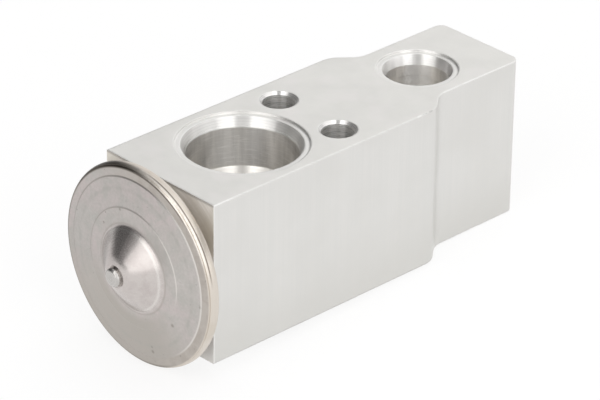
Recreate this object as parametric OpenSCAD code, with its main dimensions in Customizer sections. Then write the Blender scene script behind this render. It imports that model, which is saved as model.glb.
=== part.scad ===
// Thermostatic expansion valve in a drawn aluminium block, lying with a port face up.
// The origin is midway between the two fixing holes, on the upper port face.
// X runs along the stem towards the tail, Z points out of the upper port face.

/* [Valve block] */
// Height from port face to port face
block_height = 26; // [25.6:0.2:28]
// Width of the head end
block_width = 23; // [22.6:0.2:26]
// Width of the narrower tail
tail_width = 16.8; // [16:0.2:18]
// From the fixing holes to the end face under the power head
head_reach = 29.3; // [29.1:0.1:30.5]
// From the fixing holes to the tail end face
tail_reach = 36.5; // [36.3:0.1:38]
// From the fixing holes to the middle of the side steps
step_reach = 17.2; // [15:0.2:18]
// Slope of the side steps against the long axis, in degrees
step_slope = 40; // [30:1:45]
// Radius of both bends of a side step
step_radius = 3.8; // [2.4:0.2:4.2]
// Radius of the tail's upright corners
tail_corner_radius = 1.4; // [0.8:0.1:2]

/* [Fixing holes] */
// Distance between the two fixing holes
fixing_spacing = 12.7; // [12.2:0.1:14]
// Radius of the drilled fixing hole, for a 6 mm screw
fixing_radius = 2.5; // [2.3:0.1:2.6]
// Width of the chamfer at the hole's mouths
fixing_chamfer = 0.45; // [0.2:0.05:0.6]

/* [Suction ports] */
// From the fixing holes back to the suction ports' axis
suction_reach = 13.2; // [12.9:0.1:13.5]
// Radius of the parallel bore that takes the tube end
suction_bore_radius = 8.4; // [8:0.1:8.6]
// Depth from the port face to the conical shoulder
suction_bore_depth = 8.3; // [7:0.1:8.8]
// Radius of the passage between the two ports
suction_passage_radius = 7; // [6.6:0.1:7.1]
// Width by which the lead-in cone is wider than the bore
suction_lead_width = 0.65; // [0.4:0.05:0.8]

/* [Liquid ports] */
// From the fixing holes to the liquid inlet's axis, on the upper face
liquid_inlet_reach = 22.8; // [22.4:0.1:23]
// From the fixing holes to the liquid outlet's axis, on the lower face
liquid_outlet_reach = 11; // [10.6:0.1:11.2]
// Radius of the parallel bore that takes the tube end
liquid_bore_radius = 4.95; // [4.7:0.05:5.1]
// Depth from the port face to the flat floor
liquid_bore_depth = 7; // [6.4:0.1:7.4]
// Radius of the hole from the floor to the valve's inside
liquid_hole_radius = 2.9; // [2.6:0.1:3]
// Width by which the lead-in cone is wider than the bore
liquid_lead_width = 0.42; // [0.3:0.02:0.6]

/* [Port mouths] */
// Depth of the flat recess round each port
recess_depth = 0.3; // [0.15:0.05:0.5]
// Width of the flat recess outside the lead-in cone
recess_width = 0.9; // [0.6:0.05:1]
// Depth of the lead-in cone under the recess
lead_depth = 1.6; // [1:0.1:2]

/* [Power head] */
// Largest radius, at the crest of the weld bead
head_radius = 15.75; // [15.5:0.05:16.5]
// From the block's end face to the flat middle of the upper cover
head_depth = 5.2; // [5:0.1:5.6]
// From the block's end face to the front of the upper cover's flange
flange_depth = 4.5; // [4.3:0.05:4.6]
// From the block's end face to the seam between the covers
seam_depth = 3.35; // [3.2:0.05:3.5]
// From the block's end face to the back of the rim
rim_back_depth = 2.5; // [2.3:0.05:2.6]
// Radius of the rim's front edge
rim_edge_radius = 0.5; // [0.4:0.05:0.6]
// Radius of the rim's back edge
back_edge_radius = 0.3; // [0.2:0.05:0.4]
// Turn of both edges before they run into the weld bead's crown, in degrees
rim_turn = 60; // [50:2:66]
// Depth of the fine groove between the rim's front edge and the weld bead
bead_groove = 0.07; // [0.04:0.01:0.1]
// Radius of the inner ring, where the flat middle ends
inner_ring_radius = 9.3; // [8.8:0.1:9.8]
// Height of the step at the inner ring
inner_step = 0.08; // [0.04:0.02:0.12]
// From the rim in to the outer ring, where the flange begins
outer_ring_inset = 1.75; // [1.6:0.05:1.9]
// Height of the step at the outer ring
outer_step = 0.1; // [0.06:0.02:0.2]
// Width of the steps at both rings
ring_width = 0.25; // [0.15:0.05:0.35]
// Radius of the dome at its foot
dome_foot_radius = 6.75; // [6.4:0.05:7]
// Radius of the dome at its flat tip
dome_tip_radius = 1.8; // [1.7:0.05:2.2]
// Height of the dome over the flat middle
dome_height = 3.4; // [3:0.1:3.8]
// Angle by which the dome's bulging wall leaves a straight cone at its tip and foot, in degrees
dome_bulge = 8; // [4:1:12]
// Radius of the hollow bend round the dome's foot
dome_foot_bend = 1.1; // [0.8:0.1:1.4]
// Thickness of both covers
cover_thickness = 0.8; // [0.7:0.05:0.9]
// Width of the joint between the covers, from the rim to the dish
joint_width = 2.15; // [2:0.05:2.25]
// Width of the dish's sloping wall
dish_wall_width = 2.7; // [2.5:0.05:2.9]
// Thickness of the diaphragm
diaphragm_thickness = 0.1; // [0.08:0.01:0.12]
// Height of the diaphragm's waves
diaphragm_wave = 0.3; // [0.2:0.05:0.4]

/* [Charge plug] */
// Radius of the plug's stem in the dome's hole
plug_stem_radius = 0.8; // [0.7:0.05:0.9]
// Radius of the plug's button on the dome's tip
plug_radius = 1.45; // [1.35:0.05:1.6]
// Radius of the button's rounded edge
plug_edge_radius = 0.5; // [0.35:0.05:0.5]
// Height of the button over the dome's tip
plug_height = 0.85; // [0.85:0.05:1.1]

/* [Neck and head seal] */
// Outer radius of the neck's thread
neck_radius = 8; // [7.8:0.05:8.2]
// Radius of the neck's inside
neck_bore_radius = 6.2; // [6:0.1:6.4]
// Length of the neck inside the block
neck_length = 5.6; // [5.2:0.1:5.8]
// Gap between the neck's end and the floor of its socket
neck_end_gap = 0.6; // [0.3:0.1:0.8]
// Height of the neck's flange on the lower cover's floor
neck_flange_height = 0.75; // [0.6:0.05:0.8]
// Width of the neck's flange
neck_flange_width = 1.2; // [1:0.1:1.3]
// Radius of the cord of the head's O-ring
head_ring_cord_radius = 0.78; // [0.7:0.02:0.84]

/* [Rods] */
// Radius of the plate under the diaphragm
stopper_radius = 9.6; // [9.3:0.1:9.8]
// Thickness of the plate under the diaphragm
stopper_thickness = 0.75; // [0.7:0.05:0.8]
// Radius of the boss under that plate
stopper_boss_radius = 4.4; // [4:0.1:4.6]
// Length of the boss under that plate
stopper_boss_length = 5.1; // [4.8:0.1:5.3]
// Thickness of metal over the thick rod's end
stopper_crown = 1.5; // [1.2:0.1:1.8]
// Radius of the thick rod across the suction passage
sensing_rod_radius = 2.8; // [2.6:0.1:3]
// Radius of the thin rod in its guide
push_rod_radius = 1.2; // [1.1:0.05:1.3]
// Radius of the thin rod's tip in the orifice
push_tip_radius = 0.9; // [0.8:0.05:1]
// Depth of the pocket for the thin rod in the thick rod's end
rod_pocket_depth = 3; // [2.6:0.1:3.4]
// Gap between the thick rod's end and the guide wall at the end of the travel
rod_end_gap = 0.6; // [0.5:0.1:0.8]
// Depth of the pocket for the push rod's O-ring in the guide wall
rod_seal_depth = 3; // [2.8:0.1:3.2]
// Radius of the cord of the push rod's O-ring
rod_ring_cord_radius = 0.7; // [0.66:0.02:0.72]
// Thickness of the sheet ring that holds that O-ring
retainer_thickness = 0.5; // [0.4:0.05:0.6]

/* [Seat, ball and springs] */
// Radius of the orifice
orifice_radius = 1.5; // [1.4:0.05:1.6]
// Radius of the ball
ball_radius = 2; // [1.9:0.05:2.1]
// Outer radius of the seat ring
seat_radius = 3.4; // [3.3:0.1:3.6]
// Length of the seat ring
seat_length = 3; // [2.8:0.1:3.2]
// Width by which the outlet's chamber is narrower than the seat ring
seat_step = 0.4; // [0.3:0.05:0.5]
// Radius of the valve chamber
chamber_radius = 5; // [4.9:0.05:5.1]
// Radius of the ball holder's flange
holder_flange_radius = 4.2; // [4.1:0.05:4.3]
// Radius of the ball holder's cup and stub
holder_stub_radius = 2.6; // [2.5:0.05:2.7]
// From the ball's middle to the edge of the holder's cup
holder_cup_edge = 0.6; // [0.5:0.1:0.8]
// Thickness of the ball holder's flange
holder_flange_thickness = 0.9; // [0.8:0.1:1.1]
// Length of the ball holder's stub
holder_stub_length = 2.2; // [1.8:0.1:2.3]
// Thickness of the damping spring's sheet
damping_sheet = 0.25; // [0.2:0.05:0.3]
// Length of the damping spring's legs
damping_leg_length = 4.6; // [3.6:0.1:4.8]
// Width of the damping spring's legs
damping_leg_width = 2; // [1.6:0.1:2.4]
// Radius of the coil spring's wire
spring_wire_radius = 0.5; // [0.45:0.01:0.52]
// Radius from the coil spring's axis to its wire's centre
spring_coil_radius = 3.45; // [3.4:0.02:3.5]
// Length of the coil spring between the holder and the screw
spring_length = 6; // [5.9:0.1:6.4]
// Turns of the coil spring
spring_turns = 4.5; // [4:0.25:4.75]

/* [Adjusting screw] */
// Outer radius of the screw's thread
screw_radius = 6; // [5.9:0.05:6.2]
// Length of the screw's thread
screw_thread_length = 3; // [2.6:0.1:3.2]
// Depth of the screw's end face below the tail end face
screw_sink = 1.5; // [1.4:0.1:1.7]
// Width across the flats of the screw's hexagon socket
socket_width = 6; // [5:0.5:6.5]
// Depth of the screw's hexagon socket
socket_depth = 3.4; // [3:0.1:3.6]
// Width of the land in front of the screw's O-ring
screw_land = 0.7; // [0.6:0.05:0.8]
// Radius of the cord of the screw's O-ring
screw_ring_cord_radius = 0.75; // [0.7:0.01:0.78]

/* [Travel and clearances] */
// Opening travel of the ball
valve_lift = 0.8; // [0.6:0.05:0.8]
// Travel of the adjusting screw each way
screw_travel = 1; // [0.8:0.1:1]
// Radial clearance of threads
thread_clearance = 0.05; // [0.03:0.01:0.1]
// Radial clearance of sliding shafts
running_clearance = 0.04; // [0.02:0.01:0.08]
// Gap that keeps a seal clear of its groove
seal_gap = 0.03; // [0.02:0.01:0.06]
// Gap between pieces that touch on a curved face
contact_gap = 0.01; // [0.01:0.01:0.02]
// Gap left between moving pieces at the end of their travel
end_gap = 0.2; // [0.1:0.05:0.3]

/* [Hidden] */
$fn = 96;
cord_facets = 48;
arc_steps = 10;
wave_steps = 32;
coil_sides = 10;
coil_steps_per_turn = 24;
overshoot = 1;
edge_break = 0.4;
closed_turns = 1;
leg_angles = [60, 180, 300];
hexagon = 6;
plug_foot = 0.15;

// Places along the stem, as X
head_face = -head_reach;
suction_axis = -suction_reach;
head_seal_floor = head_face + 2 * (head_ring_cord_radius + seal_gap);
head_socket_floor = head_face + neck_length + neck_end_gap;
guide_wall = suction_axis + suction_passage_radius;
rod_seal_floor = guide_wall + rod_seal_depth;
outlet_back = liquid_outlet_reach - liquid_hole_radius;
rod_end = guide_wall - valve_lift - rod_end_gap;
tip_inset = 1;
seat_back = liquid_outlet_reach + liquid_hole_radius + end_gap / 2;
seat_face = seat_back + seat_length;
ball_x = seat_face + sqrt(pow(ball_radius, 2) - pow(orifice_radius, 2)) + contact_gap;
holder_front = ball_x + holder_cup_edge;
holder_flange_front = ball_x + ball_radius;
holder_flange_back = holder_flange_front + holder_flange_thickness;
holder_end = holder_flange_back + holder_stub_length;
screw_end = tail_reach - screw_sink;
screw_shoulder = screw_end - screw_thread_length;
chamber_end = screw_shoulder - screw_travel - end_gap;
screw_front = holder_flange_back + spring_length;
screw_nose = holder_end + valve_lift + screw_travel + end_gap;
screw_gland_front = screw_front + screw_land;

// Radii round the stem
head_socket_radius = neck_radius + thread_clearance;
head_seal_radius = neck_radius + 2 * (head_ring_cord_radius + seal_gap) + thread_clearance;
retainer_gap = 0.15;
leg_gap = 0.1;
spring_gap = 0.02;
gas_gap = 0.8;
gas_opening_radius = stopper_boss_radius + gas_gap;
rod_guide_radius = push_rod_radius + running_clearance;
rod_seal_radius = push_rod_radius + 2 * (rod_ring_cord_radius + seal_gap);
outlet_chamber_radius = seat_radius - seat_step;
screw_socket_radius = screw_radius + thread_clearance;
screw_shank_radius = chamber_radius - running_clearance;
screw_gland_radius = chamber_radius - 2 * (screw_ring_cord_radius + seal_gap);

// Depths of the power head, outwards from the block's end face
lower_seam_depth = seam_depth - diaphragm_thickness;
neck_flange_top = cover_thickness + neck_flange_height;
stopper_back = lower_seam_depth - stopper_thickness;
rod_pocket_top = stopper_back - stopper_crown;
boss_end = stopper_back - stopper_boss_length;
dome_tip_depth = head_depth + dome_height;

// Radii of the power head
outer_ring_radius = head_radius - outer_ring_inset;
groove_turn = 8;
dish_mouth_radius = head_radius - joint_width;
dish_floor_radius = dish_mouth_radius - dish_wall_width;
diaphragm_rim = 0.7;
diaphragm_radius = head_radius - diaphragm_rim;
wave_margin = 0.5;
inner_slope = 0.4;
sheet_offset = 0.35;

// Points of an arc round a centre, from one angle to another
function arc(centre, radius, from, to) =
    [for (i = [0:arc_steps]) let (a = from + (to - from) * i / arc_steps)
        centre + radius * [cos(a), sin(a)]];

// Pieces on the stem's axis, drawn with Z along the stem
module along_stem() {
    translate([0, 0, -block_height / 2])
        rotate([0, 90, 0])
            children();
}

// Pieces of the power head, drawn with Z outwards from the block's end face
module on_head() {
    translate([head_face, 0, -block_height / 2])
        rotate([0, -90, 0])
            children();
}

// A seal of round cord, centred on the axis
module ring(coil_radius, cord_radius) {
    rotate_extrude()
        translate([coil_radius, 0])
            circle(r = cord_radius, $fn = cord_facets);
}

// One side of the block's outline: the wide edge, the step and the tail's corner
function side_outline() =
    let (drop = (block_width - tail_width) / 2,
         bend_drop = step_radius * (1 - cos(step_slope)),
         ramp = (drop - 2 * bend_drop) / tan(step_slope),
         span = 2 * step_radius * sin(step_slope) + ramp,
         start = step_reach - span / 2,
         end = step_reach + span / 2,
         corner = [tail_reach, tail_width / 2] - tail_corner_radius * [1, 1])
    concat([[head_face, block_width / 2]],
           arc([start, block_width / 2 - step_radius], step_radius, 90, 90 - step_slope),
           arc([end, tail_width / 2 + step_radius], step_radius, 270 - step_slope, 270),
           arc(corner, tail_corner_radius, 90, 0));

function other_side(points) =
    [for (i = [len(points) - 1:-1:0]) [points[i][0], -points[i][1]]];

module block_outline() {
    polygon(concat(side_outline(), other_side(side_outline())));
}

// A port, cut down from its face: recess, lead-in cone, bore, floor and passage
module port_cut(bore_radius, bore_depth, lead_width, floor_height, hole_radius, hole_depth) {
    rim_radius = bore_radius + lead_width;
    recess_radius = rim_radius + recess_width;
    rotate_extrude()
        polygon([[0, overshoot],
                 [recess_radius, overshoot],
                 [recess_radius, -recess_depth],
                 [rim_radius, -recess_depth],
                 [bore_radius, -recess_depth - lead_depth],
                 [bore_radius, -bore_depth],
                 [hole_radius, -bore_depth - floor_height],
                 [hole_radius, -hole_depth],
                 [0, -hole_depth]]);
}

module suction_cut() {
    port_cut(suction_bore_radius, suction_bore_depth, suction_lead_width,
             suction_bore_radius - suction_passage_radius,
             suction_passage_radius, block_height / 2 + overshoot);
}

module liquid_cut() {
    port_cut(liquid_bore_radius, liquid_bore_depth, liquid_lead_width,
             0, liquid_hole_radius, block_height / 2);
}

// Turns a cut made for the upper face over onto the lower face
module on_lower_face() {
    translate([0, 0, -block_height])
        mirror([0, 0, 1])
            children();
}

module fixing_cut() {
    mouth_radius = fixing_radius + fixing_chamfer;
    rotate_extrude()
        polygon([[0, overshoot],
                 [mouth_radius, overshoot],
                 [mouth_radius, 0],
                 [fixing_radius, -fixing_chamfer],
                 [fixing_radius, fixing_chamfer - block_height],
                 [mouth_radius, -block_height],
                 [mouth_radius, -block_height - overshoot],
                 [0, -block_height - overshoot]]);
}

// Everything bored along the stem, from the head's socket to the screw's socket
module stem_cut() {
    mouth_radius = screw_socket_radius + edge_break;
    rotate_extrude()
        polygon([[0, head_face - overshoot],
                 [head_seal_radius, head_face - overshoot],
                 [head_seal_radius, head_seal_floor],
                 [head_socket_radius, head_seal_floor],
                 [head_socket_radius, head_socket_floor],
                 [gas_opening_radius, head_socket_floor],
                 [gas_opening_radius, suction_axis],
                 [rod_seal_radius, suction_axis],
                 [rod_seal_radius, rod_seal_floor],
                 [rod_guide_radius, rod_seal_floor],
                 [rod_guide_radius, outlet_back],
                 [outlet_chamber_radius, outlet_back],
                 [outlet_chamber_radius, seat_back],
                 [seat_radius, seat_back],
                 [seat_radius, seat_face],
                 [chamber_radius, seat_face],
                 [chamber_radius, chamber_end],
                 [screw_socket_radius, chamber_end],
                 [screw_socket_radius, tail_reach - edge_break],
                 [mouth_radius, tail_reach],
                 [mouth_radius, tail_reach + overshoot],
                 [0, tail_reach + overshoot]]);
}

module block() {
    color("gainsboro")
        difference() {
            translate([0, 0, -block_height])
                linear_extrude(block_height)
                    block_outline();
            translate([suction_axis, 0, 0])
                suction_cut();
            on_lower_face()
                translate([suction_axis, 0, 0])
                    suction_cut();
            translate([liquid_inlet_reach, 0, 0])
                liquid_cut();
            on_lower_face()
                translate([liquid_outlet_reach, 0, 0])
                    liquid_cut();
            for (side = [-1, 1])
                translate([0, side * fixing_spacing / 2, 0])
                    fixing_cut();
            along_stem()
                stem_cut();
        }
}

// Radius of the weld bead's crown between one edge of the rim and the seam
function crown_radius(edge_depth, edge_radius) =
    (abs(edge_depth - seam_depth) - edge_radius * (1 - cos(rim_turn))) / cos(rim_turn);

// Radius at which an edge of the rim begins to turn
function edge_start(edge_depth, edge_radius) =
    head_radius - crown_radius(edge_depth, edge_radius) * (1 - sin(rim_turn)) - edge_radius * sin(rim_turn);

// Half of the rim's profile: one edge, a groove if there is one, then the crown up to the crest
function rim_half(edge_depth, edge_radius, groove_depth) =
    let (side = sign(edge_depth - seam_depth),
         turned = side * (90 - rim_turn),
         radius = crown_radius(edge_depth, edge_radius),
         edge_centre = [edge_start(edge_depth, edge_radius), edge_depth - side * edge_radius])
    concat(arc(edge_centre, edge_radius, side * 90, turned + side * groove_turn),
           [edge_centre + (edge_radius - groove_depth) * [cos(turned), sin(turned)]],
           arc([head_radius - radius, seam_depth], radius, turned - side * groove_turn / 4, 0));

// The dome's wall from its tip to the flat middle: a bulging arc, then a hollow bend
function dome_wall() =
    let (width = dome_foot_radius - dome_tip_radius,
         tip_slope = atan(dome_height / width) - dome_bulge,
         radius = norm([width, dome_height]) / 2 / sin(dome_bulge),
         centre = [dome_tip_radius, dome_tip_depth] - radius * [sin(tip_slope), cos(tip_slope)],
         bend_depth = head_depth + dome_foot_bend,
         rise = bend_depth - centre[1],
         reach = sqrt(pow(radius + dome_foot_bend, 2) - pow(rise, 2)),
         meeting = atan(rise / reach),
         bend = arc([centre[0] + reach, bend_depth], dome_foot_bend, 180 + meeting, 270))
    concat(arc(centre, radius, 90 - tip_slope, meeting),
           [for (i = [1:arc_steps]) bend[i]]);

module upper_cover() {
    inside_depth = head_depth - cover_thickness;
    skirt_end = flange_depth + outer_step;
    color("silver")
        on_head()
            rotate_extrude()
                polygon(concat(
                    [[plug_stem_radius, dome_tip_depth - cover_thickness],
                     [plug_stem_radius, dome_tip_depth]],
                    dome_wall(),
                    [[inner_ring_radius, head_depth],
                     [inner_ring_radius + ring_width, head_depth - inner_step],
                     [outer_ring_radius - ring_width, skirt_end],
                     [outer_ring_radius, flange_depth]],
                    rim_half(flange_depth, rim_edge_radius, bead_groove),
                    [[dish_mouth_radius, seam_depth],
                     [dish_mouth_radius - inner_slope, skirt_end - cover_thickness],
                     [inner_ring_radius, inside_depth],
                     [dome_foot_radius, inside_depth],
                     [dome_tip_radius, dome_tip_depth - cover_thickness]]));
}

module lower_cover() {
    color("silver")
        on_head()
            rotate_extrude()
                polygon(concat(
                    [[neck_radius, 0],
                     [dish_floor_radius + sheet_offset, 0],
                     [dish_mouth_radius + sheet_offset, rim_back_depth]],
                    rim_half(rim_back_depth, back_edge_radius, 0),
                    [[diaphragm_radius, seam_depth],
                     [diaphragm_radius, lower_seam_depth],
                     [dish_mouth_radius, lower_seam_depth],
                     [dish_floor_radius, cover_thickness],
                     [neck_radius, cover_thickness]]));
}

module mounting_neck() {
    color("darkgray")
        on_head()
            rotate_extrude()
                polygon([[neck_bore_radius, -neck_length],
                         [neck_radius - edge_break, -neck_length],
                         [neck_radius, edge_break - neck_length],
                         [neck_radius, cover_thickness],
                         [neck_radius + neck_flange_width, cover_thickness],
                         [neck_radius + neck_flange_width, neck_flange_top],
                         [neck_bore_radius, neck_flange_top]]);
}

module charge_plug() {
    stem_end = dome_tip_depth - cover_thickness - plug_edge_radius;
    edge_centre = [plug_radius, dome_tip_depth + plug_height] - plug_edge_radius * [1, 1];
    color("lightgray")
        on_head()
            rotate_extrude()
                polygon(concat(
                    [[0, stem_end],
                     [plug_stem_radius, stem_end],
                     [plug_stem_radius, dome_tip_depth],
                     [plug_radius - plug_foot, dome_tip_depth],
                     [plug_radius - plug_foot, dome_tip_depth + plug_foot],
                     [plug_radius, dome_tip_depth + 2 * plug_foot]],
                    arc(edge_centre, plug_edge_radius, 0, 90),
                    [[0, dome_tip_depth + plug_height]]));
}

// Upper and lower line of the diaphragm: a flat middle, two waves and a flat rim
function diaphragm_line(rise) =
    let (from = stopper_radius, to = dish_mouth_radius - wave_margin)
    concat([[0, lower_seam_depth + rise]],
           [for (i = [0:wave_steps])
               [from + (to - from) * i / wave_steps,
                lower_seam_depth + rise + diaphragm_wave / 2 * (1 - cos(720 * i / wave_steps))]],
           [[diaphragm_radius, lower_seam_depth + rise]]);

function backwards(points) =
    [for (i = [len(points) - 1:-1:0]) points[i]];

module diaphragm() {
    color("slategray")
        on_head()
            rotate_extrude()
                polygon(concat(diaphragm_line(0), backwards(diaphragm_line(diaphragm_thickness))));
}

module head_o_ring() {
    color("darkgreen")
        along_stem()
            translate([0, 0, (head_face + head_seal_floor) / 2])
                ring((neck_radius + head_seal_radius) / 2, head_ring_cord_radius);
}

module stopper_disc() {
    color("goldenrod")
        on_head()
            rotate_extrude()
                polygon([[0, rod_pocket_top],
                         [sensing_rod_radius, rod_pocket_top],
                         [sensing_rod_radius, boss_end],
                         [stopper_boss_radius, boss_end],
                         [stopper_boss_radius, stopper_back],
                         [stopper_radius, stopper_back],
                         [stopper_radius, lower_seam_depth],
                         [0, lower_seam_depth]]);
}

module sensing_rod() {
    rod_start = head_face - rod_pocket_top;
    pocket = rod_end - rod_pocket_depth;
    color("gainsboro")
        along_stem()
            rotate_extrude()
                polygon([[0, rod_start],
                         [sensing_rod_radius, rod_start],
                         [sensing_rod_radius, rod_end - edge_break],
                         [sensing_rod_radius - edge_break, rod_end],
                         [push_rod_radius, rod_end],
                         [push_rod_radius, pocket],
                         [0, pocket]]);
}

module push_rod() {
    rod_start = rod_end - rod_pocket_depth;
    tip_start = outlet_back + tip_inset;
    tip_end = ball_x - ball_radius - contact_gap;
    color("lightsteelblue")
        along_stem()
            rotate_extrude()
                polygon([[0, rod_start],
                         [push_rod_radius, rod_start],
                         [push_rod_radius, tip_start],
                         [push_tip_radius, tip_start + push_rod_radius - push_tip_radius],
                         [push_tip_radius, tip_end],
                         [0, tip_end]]);
}

module rod_o_ring() {
    color("darkgreen")
        along_stem()
            translate([0, 0, rod_seal_floor - rod_ring_cord_radius - seal_gap])
                ring((push_rod_radius + rod_seal_radius) / 2, rod_ring_cord_radius);
}

module seal_retainer() {
    back = rod_seal_floor - 2 * (rod_ring_cord_radius + seal_gap);
    color("silver")
        along_stem()
            translate([0, 0, back - retainer_thickness])
                difference() {
                    cylinder(h = retainer_thickness, r = rod_seal_radius);
                    translate([0, 0, -overshoot])
                        cylinder(h = retainer_thickness + 2 * overshoot,
                                 r = push_rod_radius + retainer_gap);
                }
}

module valve_seat() {
    color("lightgray")
        along_stem()
            translate([0, 0, seat_back])
                difference() {
                    cylinder(h = seat_length, r = seat_radius);
                    translate([0, 0, -overshoot])
                        cylinder(h = seat_length + 2 * overshoot, r = orifice_radius);
                }
}

module ball() {
    color("lightsteelblue")
        along_stem()
            translate([0, 0, ball_x])
                sphere(r = ball_radius);
}

module ball_holder() {
    color("darkkhaki")
        along_stem()
            difference() {
                rotate_extrude()
                    polygon([[0, holder_front],
                             [holder_stub_radius, holder_front],
                             [holder_stub_radius, holder_flange_front],
                             [holder_flange_radius, holder_flange_front],
                             [holder_flange_radius, holder_flange_back],
                             [holder_stub_radius, holder_flange_back],
                             [holder_stub_radius, holder_end],
                             [0, holder_end]]);
                translate([0, 0, ball_x])
                    sphere(r = ball_radius + 2 * contact_gap);
            }
}

// A sheet ring on the ball holder, with three legs that rub along the chamber's wall
module damping_spring() {
    wall_radius = chamber_radius - leg_gap;
    front = holder_flange_front - damping_sheet;
    color("silver")
        along_stem()
            translate([0, 0, front])
                difference() {
                    union() {
                        cylinder(h = damping_sheet, r = holder_flange_radius);
                        intersection() {
                            cylinder(h = damping_leg_length, r = wall_radius);
                            for (angle = leg_angles)
                                rotate([0, 0, angle])
                                    translate([-damping_leg_width / 2, 0, 0])
                                        cube([damping_leg_width, wall_radius, damping_leg_length]);
                        }
                    }
                    translate([0, 0, -overshoot])
                        cylinder(h = damping_leg_length, r = holder_stub_radius);
                    translate([0, 0, damping_sheet])
                        cylinder(h = damping_leg_length, r = wall_radius - damping_sheet);
                }
}

// Rise of the coil spring's wire, closed over the first and the last turn and open between them
function spring_rise(turn) =
    let (open_turns = spring_turns - 2 * closed_turns,
         closed_pitch = 2 * (spring_wire_radius + spring_gap),
         closed_rise = closed_pitch * closed_turns,
         open_pitch = (spring_length - closed_pitch - 2 * closed_rise) / open_turns)
    turn < closed_turns ? closed_pitch * turn
    : turn > spring_turns - closed_turns ? closed_pitch * (turn - open_turns) + open_pitch * open_turns
    : closed_rise + open_pitch * (turn - closed_turns);

// The wire's round section after so many turns
function spring_section(turn) =
    [for (i = [0:coil_sides - 1])
        let (angle = 360 * i / coil_sides,
             reach = spring_coil_radius + spring_wire_radius * cos(angle),
             height = spring_wire_radius * (1 + sin(angle)) + spring_gap + spring_rise(turn))
        [reach * cos(360 * turn), reach * sin(360 * turn), height]];

module coil_spring() {
    sections = spring_turns * coil_steps_per_turn;
    points = [for (k = [0:sections]) each spring_section(k / coil_steps_per_turn)];
    walls = [for (k = [0:sections - 1]) for (i = [0:coil_sides - 1])
                let (next = (i + 1) % coil_sides)
                [k * coil_sides + i, (k + 1) * coil_sides + i,
                 (k + 1) * coil_sides + next, k * coil_sides + next]];
    first_end = [for (i = [0:coil_sides - 1]) i];
    last_end = [for (i = [coil_sides - 1:-1:0]) sections * coil_sides + i];
    color("dimgray")
        along_stem()
            translate([0, 0, holder_flange_back])
                polyhedron(points, concat(walls, [first_end, last_end]));
}

module adjusting_screw() {
    gland_back = screw_gland_front + 2 * (screw_ring_cord_radius + seal_gap);
    socket_radius = socket_width / 2 / cos(180 / hexagon);
    color("lightsteelblue")
        along_stem()
            difference() {
                rotate_extrude()
                    polygon([[0, screw_nose],
                             [holder_stub_radius, screw_nose],
                             [holder_stub_radius, screw_front],
                             [screw_shank_radius, screw_front],
                             [screw_shank_radius, screw_gland_front],
                             [screw_gland_radius, screw_gland_front],
                             [screw_gland_radius, gland_back],
                             [screw_shank_radius, gland_back],
                             [screw_shank_radius, screw_shoulder],
                             [screw_radius, screw_shoulder],
                             [screw_radius, screw_end - edge_break],
                             [screw_radius - edge_break, screw_end],
                             [0, screw_end]]);
                translate([0, 0, screw_end - socket_depth])
                    cylinder(h = socket_depth + overshoot, r = socket_radius, $fn = hexagon);
            }
}

module screw_o_ring() {
    color("darkgreen")
        along_stem()
            translate([0, 0, screw_gland_front + screw_ring_cord_radius + seal_gap])
                ring((screw_gland_radius + chamber_radius) / 2, screw_ring_cord_radius);
}

block();
upper_cover();
lower_cover();
mounting_neck();
charge_plug();
diaphragm();
head_o_ring();
stopper_disc();
sensing_rod();
push_rod();
rod_o_ring();
seal_retainer();
valve_seat();
ball();
ball_holder();
damping_spring();
coil_spring();
adjusting_screw();
screw_o_ring();
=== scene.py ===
# Looks of a block-type thermostatic expansion valve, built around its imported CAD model
import math

import bpy
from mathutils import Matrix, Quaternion, Vector


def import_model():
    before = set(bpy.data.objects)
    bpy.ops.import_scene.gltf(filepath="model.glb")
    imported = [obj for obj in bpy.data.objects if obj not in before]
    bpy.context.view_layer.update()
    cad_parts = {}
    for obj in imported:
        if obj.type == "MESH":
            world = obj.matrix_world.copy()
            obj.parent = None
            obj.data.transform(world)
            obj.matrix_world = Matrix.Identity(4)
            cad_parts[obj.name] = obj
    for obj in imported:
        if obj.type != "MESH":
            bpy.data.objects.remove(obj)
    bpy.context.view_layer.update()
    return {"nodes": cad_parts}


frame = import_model()
nodes = frame["nodes"]

MM = 0.001
SCENE = bpy.context.scene
# Tone of the painted highlights on edges and in the ports and holes
HIGHLIGHT_WHITE = (1.0, 0.99, 0.975)

# Places and sizes of the block's features, in millimetres
STEM_Z = -13.0
STEM = (0.0, 0.0, STEM_Z)
BLOCK_LOW = -26.0
HALF_HEIGHT = 13.0
HEAD_FACE_X = -29.3
TAIL_FACE_X = 36.5
BLOCK_SIDE_Y = 11.5
TAIL_SIDE_Y = 8.4
TAIL_CORNER = 2.3
SUCTION_X = -13.2
INLET_X = 22.8
OUTLET_X = 11.0
SUCTION_RIM = 9.95
LIQUID_RIM = 6.27
RECESS_DEPTH = 0.3
LEAD_END = 1.9
FIXING_Y = 6.35
FIXING_REACH = 3.0
SUCTION_REACH = 10.2
STEM_BORE_REACH = 6.6
TOOL_FEED = 0.29
CLOSE = 0.01

# Each port's place along X, its reach with a little to spare, and the faces that it opens on
PORTS = ((SUCTION_X, SUCTION_RIM + 0.1, (0.0, BLOCK_LOW)),
         (INLET_X, LIQUID_RIM + 0.1, (0.0,)),
         (OUTLET_X, LIQUID_RIM + 0.1, (BLOCK_LOW,)))

# Slots of the block's palette; the three ports and the two fixing holes take a slot each
DRAWN, MILLED, END, PORT, FIXING, RECESS = 0, 1, 2, 3, 6, 8

# Radii on the power head's front, and the weld bead's middle along X, in millimetres
TIP_INNER, TIP_OUTER = 1.5, 3.1
DOME_EDGE = 7.0
INNER_RING = 9.35
WORN_RING = 12.15
OUTER_RING = 13.9
BEAD_EDGE = 15.25
BEAD_X = -33.0

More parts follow.
